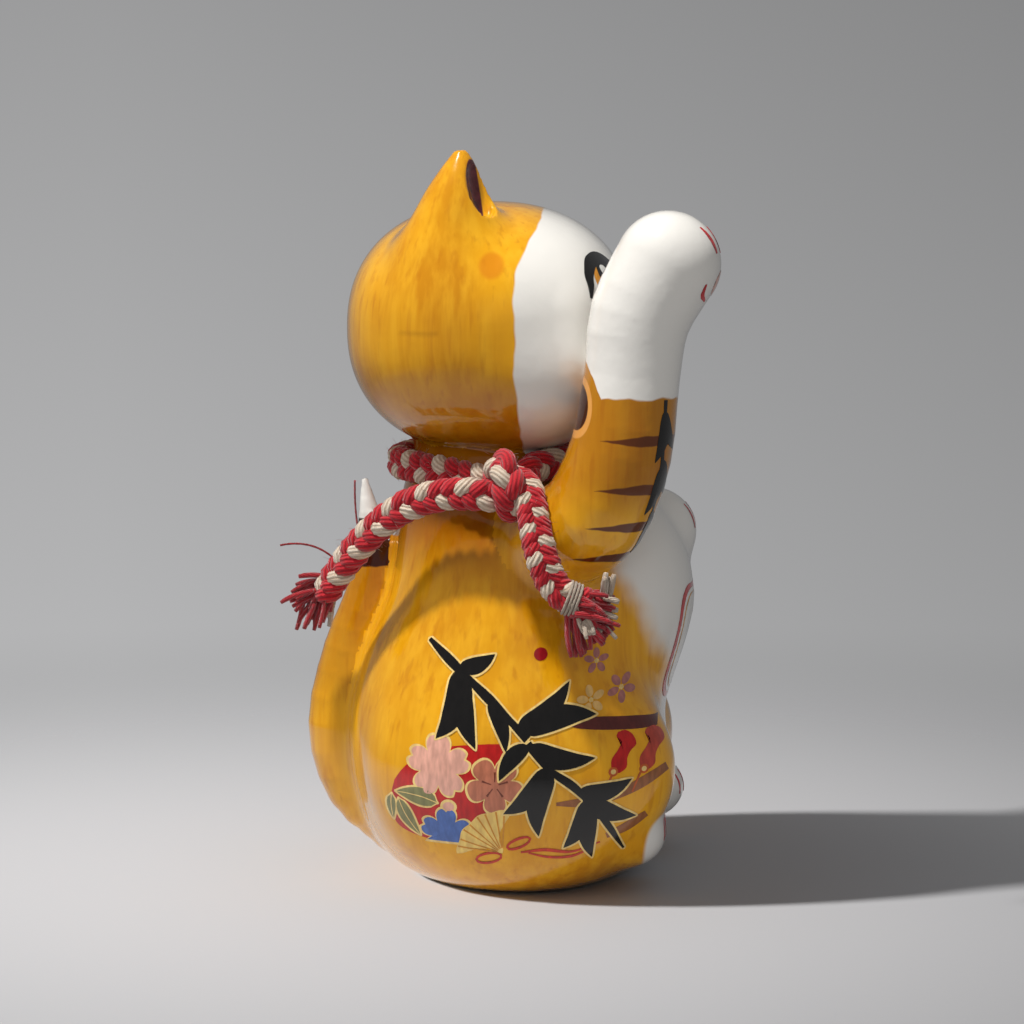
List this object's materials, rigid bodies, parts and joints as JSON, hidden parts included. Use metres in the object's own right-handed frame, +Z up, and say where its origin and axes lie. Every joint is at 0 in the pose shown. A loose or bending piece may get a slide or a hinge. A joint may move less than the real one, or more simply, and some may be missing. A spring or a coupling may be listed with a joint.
{
  "type": "ceramic cat figurine",
  "caption": "Sitting cat figurine in glazed ceramic with its right paw raised, a twisted cotton rope tied round its neck and a soft stopper in the hollow base.",
  "frame": {"origin": "on the table plane, below the middle of the ceramic's bounding box", "axes": "+Z up; the cat looks along -Y; its right side, with the raised paw, is towards -X"},
  "size_m": [0.1021, 0.1056, 0.1777],
  "materials": {
    "yellow_glaze": "gloss clear glaze over brushed yellow",
    "white_glaze": "gloss clear glaze over white",
    "rope_cotton": "twisted red and cream cotton",
    "loose_yarn": "red cotton yarn",
    "whipping_thread": "cream cotton thread",
    "stopper_rubber": "soft translucent white"
  },
  "bodies": {
    "figurine": {"torso": "yellow_glaze", "head": "yellow_glaze", "raised_arm": "white_glaze", "tail": "yellow_glaze", "rope_collar": "rope_cotton", "rope_knot": "rope_cotton", "rope_tail_back": "rope_cotton", "rope_tail_front": "rope_cotton", "rope_fray_back": "rope_cotton", "rope_fray_front": "rope_cotton", "rope_whipping": "whipping_thread", "rope_thread_up": "loose_yarn", "rope_thread_out": "loose_yarn"},
    "stopper": {"stopper": "stopper_rubber"}
  },
  "joints": [
    {"name": "stopper_pull", "type": "slide", "parent": "figurine", "child": "stopper", "axis": [0, 0, -1], "range_m": [0, 0.03]}
  ]
}
